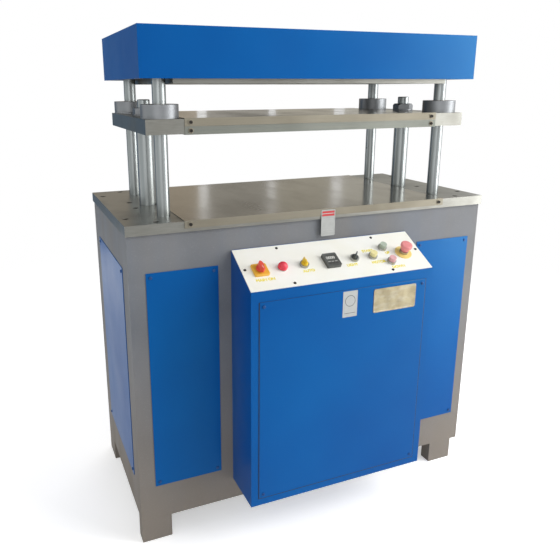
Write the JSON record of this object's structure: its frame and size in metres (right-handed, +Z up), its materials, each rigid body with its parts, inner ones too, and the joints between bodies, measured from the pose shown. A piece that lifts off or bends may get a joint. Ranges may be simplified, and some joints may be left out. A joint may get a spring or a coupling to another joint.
{
  "type": "die cutting machine",
  "caption": "Hydraulic die-cutting press: a platen on guide pillars between bed and hooded crown, on a cabinet with a sloping control box",
  "frame": {"origin": "on the floor, midway between the four floor-bolt holes in the feet", "axes": "+X to the right along the front, +Y to the back, +Z up; the control box faces -Y"},
  "size_m": [1.272, 0.787, 1.591],
  "materials": {
    "cabinet_paint": "satin enamel",
    "frame_paint": "satin enamel",
    "blue_enamel": "gloss enamel",
    "tank_paint": "gloss enamel",
    "motor_paint": "gloss enamel",
    "machined_steel": "ground",
    "stainless_sheet": "brushed",
    "chromed_steel": "hard chromed, polished",
    "bright_steel": "plated",
    "blackened_screws": "blackened",
    "plated_screws": "plated",
    "bronze": "machined",
    "pump_metal": "cast",
    "black_plastic": "matt",
    "grey_plastic": "matt",
    "cream_plate": "satin",
    "yellow_plastic": "semi-gloss",
    "red_plastic": "gloss",
    "green_plastic": "gloss"
  },
  "bodies": {
    "machine_frame": {"feet": "cabinet_paint", "corner_posts": "frame_paint", "frame_rails": "frame_paint", "tank_bearers": "frame_paint", "front_wall": "cabinet_paint", "rear_wall": "cabinet_paint", "side_walls": "cabinet_paint", "front_panels": "blue_enamel", "side_panels": "blue_enamel", "rear_panel": "blue_enamel", "panel_screws": "plated_screws", "bed_plate": "machined_steel", "bed_sheet": "stainless_sheet", "bed_screws": "blackened_screws", "guide_pillars": "chromed_steel", "pillar_nuts": "blackened_screws", "crown_plate": "frame_paint", "bolster": "machined_steel", "crown_hood": "blue_enamel", "cylinders": "frame_paint", "cylinder_glands": "bronze", "oil_tank": "tank_paint", "tank_lid": "frame_paint", "tank_fittings": "bright_steel", "motor": "motor_paint", "bell_housing": "frame_paint", "gear_pump": "pump_metal", "valve_block": "machined_steel", "solenoid_valve": "black_plastic", "hydraulic_pipes": "bright_steel", "control_box": "blue_enamel", "door_panel": "blue_enamel", "fascia": "cream_plate", "electrical_plate": "bright_steel", "contactors": "grey_plastic", "cable_gland": "black_plastic", "contact_blocks": "black_plastic", "main_switch_plate": "yellow_plastic", "pilot_lamp": "red_plastic", "stroke_counter": "grey_plastic", "control_bezels": "bright_steel", "estop_disc": "yellow_plastic"},
    "platen_unit": {"platen": "machined_steel", "guide_bushes": "machined_steel", "bush_liners": "bronze", "platen_top_sheet": "stainless_sheet", "platen_bottom_sheet": "stainless_sheet", "platen_screws": "blackened_screws", "piston_rods": "chromed_steel", "pistons": "machined_steel", "rod_nuts": "machined_steel"},
    "main_switch_knob_unit": {"main_switch_knob": "red_plastic"},
    "mode_knob_unit": {"mode_knob": "yellow_plastic"},
    "light_knob_unit": {"light_knob": "black_plastic"},
    "start_button_unit": {"start_button": "yellow_plastic"},
    "up_button_unit": {"up_button": "green_plastic"},
    "down_button_unit": {"down_button": "red_plastic"},
    "estop_stem_unit": {"estop_stem": "bright_steel"},
    "estop_head_unit": {"estop_head": "red_plastic"},
    "drive_shaft_unit": {"drive_shaft": "bright_steel"}
  },
  "joints": [
    {"name": "platen_slide", "type": "slide", "parent": "machine_frame", "child": "platen_unit", "axis": [0, 0, 1], "range_m": [-0.19, 0.045]},
    {"name": "pump_shaft_spin", "type": "hinge", "parent": "machine_frame", "child": "drive_shaft_unit", "pos_m": [0, 0.13, 0.505], "axis": [1, 0, 0], "continuous": true},
    {"name": "main_switch_turn", "type": "hinge", "parent": "machine_frame", "child": "main_switch_knob_unit", "pos_m": [-0.259, -0.3829, 0.90533], "axis": [0, -0.4866, 0.8736], "range_deg": [-90, 0]},
    {"name": "mode_turn", "type": "hinge", "parent": "machine_frame", "child": "mode_knob_unit", "pos_m": [-0.113, -0.3829, 0.90533], "axis": [0, -0.4866, 0.8736], "range_deg": [-45, 45]},
    {"name": "light_turn", "type": "hinge", "parent": "machine_frame", "child": "light_knob_unit", "pos_m": [0.064, -0.3829, 0.90533], "axis": [0, -0.4866, 0.8736], "range_deg": [0, 90]},
    {"name": "start_button_press", "type": "slide", "parent": "machine_frame", "child": "start_button_unit", "axis": [0, 0.4866, -0.8736], "range_m": [0, 0.004], "stiffness_N_per_m": 800, "springref_m": -0.002},
    {"name": "up_button_press", "type": "slide", "parent": "machine_frame", "child": "up_button_unit", "axis": [0, 0.4866, -0.8736], "range_m": [0, 0.004], "stiffness_N_per_m": 800, "springref_m": -0.002},
    {"name": "down_button_press", "type": "slide", "parent": "machine_frame", "child": "down_button_unit", "axis": [0, 0.4866, -0.8736], "range_m": [0, 0.004], "stiffness_N_per_m": 800, "springref_m": -0.002},
    {"name": "estop_press", "type": "slide", "parent": "machine_frame", "child": "estop_stem_unit", "axis": [0, 0.4866, -0.8736], "range_m": [0, 0.005]},
    {"name": "estop_twist", "type": "hinge", "parent": "estop_stem_unit", "child": "estop_head_unit", "pos_m": [0.25, -0.3829, 0.90533], "axis": [0, 0.4866, -0.8736], "range_deg": [0, 45], "stiffness_Nm_per_rad": 0.05, "springref_deg": -5.73}
  ]
}
